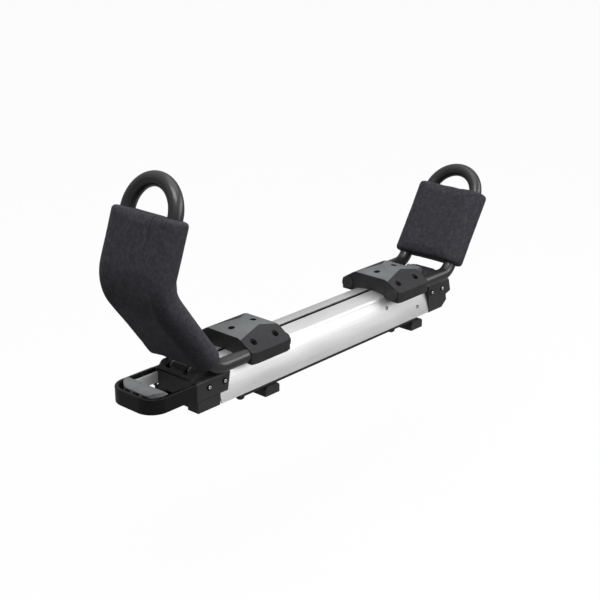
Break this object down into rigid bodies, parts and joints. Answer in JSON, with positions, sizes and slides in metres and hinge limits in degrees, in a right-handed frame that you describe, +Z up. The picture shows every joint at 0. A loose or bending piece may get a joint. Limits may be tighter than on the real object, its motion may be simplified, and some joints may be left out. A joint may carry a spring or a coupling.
{
  "type": "kayak roof carrier",
  "caption": "Lift-down kayak roof carrier: two padded tube cradles sliding on an aluminium channel that swings off a clamped base rail, with a pull handle and squeeze release.",
  "frame": {"origin": "middle of the base rail's underside, over the roof bar", "axes": "+X along the roof bar towards the middle of the car (inboard), +Y along the car, +Z up"},
  "size_m": [1.2011, 0.207, 0.5677],
  "materials": {
    "silver": "satin anodised",
    "alloy_plate": "brushed",
    "steel": "zinc plated",
    "bright_screw": "bright zinc",
    "black_tube": "satin powder coat",
    "dark_plastic": "fine grained",
    "handle_black": "satin",
    "grey_plastic": "fine grained",
    "rubber": "matt",
    "neoprene": "matt neoprene cover over foam"
  },
  "bodies": {
    "base": {"base_rail": "black_tube", "base_end_covers": "dark_plastic", "seat_pads": "rubber", "guide_bumpers": "rubber", "lift_pivot_pins": "steel", "lift_springs": "steel", "link_base_pin": "steel", "latch_keepers": "steel", "jaw_nuts": "steel"},
    "outboard_clamp": {"outboard_jaw": "dark_plastic", "outboard_jaw_pad": "rubber", "outboard_jaw_bolts": "steel"},
    "inboard_clamp": {"inboard_jaw": "dark_plastic", "inboard_jaw_pad": "rubber", "inboard_jaw_bolts": "steel"},
    "arms": {"lift_arms": "steel", "lift_arm_bushes": "dark_plastic"},
    "link": {"levelling_link": "steel"},
    "carriage": {"channel": "silver", "slot_liner": "dark_plastic", "side_studs": "bright_screw", "outboard_housing": "dark_plastic", "housing_screws": "bright_screw", "handle_loop": "handle_black", "inboard_bracket": "dark_plastic", "bracket_screws": "bright_screw", "carriage_pivot_bolts": "bright_screw", "link_carriage_pin": "steel", "outboard_latch_pin": "steel", "inboard_latch_pin": "steel", "return_springs": "steel"},
    "release": {"release_grip": "grey_plastic", "release_rails": "alloy_plate", "pull_rod": "steel"},
    "outboard_rocker": {"outboard_latch": "grey_plastic"},
    "inboard_rocker": {"inboard_latch": "grey_plastic"},
    "outboard_cradle": {"outboard_saddle": "dark_plastic", "outboard_saddle_pad": "grey_plastic", "outboard_slot_shoe": "alloy_plate", "outboard_saddle_bolts": "bright_screw", "outboard_clamp_screws": "bright_screw", "outboard_arm_tube": "black_tube", "outboard_tube_plugs": "dark_plastic", "outboard_arm_pad": "neoprene"},
    "inboard_cradle": {"inboard_saddle": "dark_plastic", "inboard_saddle_pad": "grey_plastic", "inboard_slot_shoe": "alloy_plate", "inboard_saddle_bolts": "bright_screw", "inboard_clamp_screws": "bright_screw", "inboard_arm_tube": "black_tube", "inboard_tube_plugs": "dark_plastic", "inboard_arm_pad": "neoprene"}
  },
  "joints": [
    {"name": "lift_swing", "type": "hinge", "parent": "base", "child": "arms", "pos_m": [-0.405, 0, 0.034], "axis": [0, -1, 0], "range_deg": [0, 205]},
    {"name": "carriage_level", "type": "hinge", "parent": "arms", "child": "carriage", "pos_m": [0.437, 0, 0.051], "axis": [0, -1, 0], "range_deg": [-205, 0]},
    {"name": "link_swing", "type": "hinge", "parent": "base", "child": "link", "pos_m": [-0.405, 0, 0.012], "axis": [0, -1, 0], "range_deg": [0, 205]},
    {"name": "release_squeeze", "type": "slide", "parent": "carriage", "child": "release", "axis": [-1, 0, 0], "range_m": [0, 0.005], "stiffness_N_per_m": 1500, "springref_m": -0.004},
    {"name": "outboard_rocker_turn", "type": "hinge", "parent": "carriage", "child": "outboard_rocker", "pos_m": [-0.425, 0, 0.051], "axis": [0, -1, 0], "range_deg": [0, 15]},
    {"name": "inboard_rocker_turn", "type": "hinge", "parent": "carriage", "child": "inboard_rocker", "pos_m": [0.405, 0, 0.051], "axis": [0, -1, 0], "range_deg": [0, 15]},
    {"name": "outboard_cradle_slide", "type": "slide", "parent": "carriage", "child": "outboard_cradle", "axis": [1, 0, 0], "range_m": [0, 0.05]},
    {"name": "inboard_cradle_slide", "type": "slide", "parent": "carriage", "child": "inboard_cradle", "axis": [-1, 0, 0], "range_m": [0, 0.05]},
    {"name": "outboard_clamp_slide", "type": "slide", "parent": "base", "child": "outboard_clamp", "axis": [0, 0, -1], "range_m": [0, 0.012]},
    {"name": "inboard_clamp_slide", "type": "slide", "parent": "base", "child": "inboard_clamp", "axis": [0, 0, -1], "range_m": [0, 0.012]}
  ],
  "couplings": [
    {"joint": "carriage_level", "follows": "lift_swing", "ratio": -1},
    {"joint": "link_swing", "follows": "lift_swing", "ratio": 1},
    {"joint": "outboard_rocker_turn", "follows": "release_squeeze", "rad_per_m": 52.359},
    {"joint": "inboard_rocker_turn", "follows": "release_squeeze", "rad_per_m": 52.359}
  ]
}
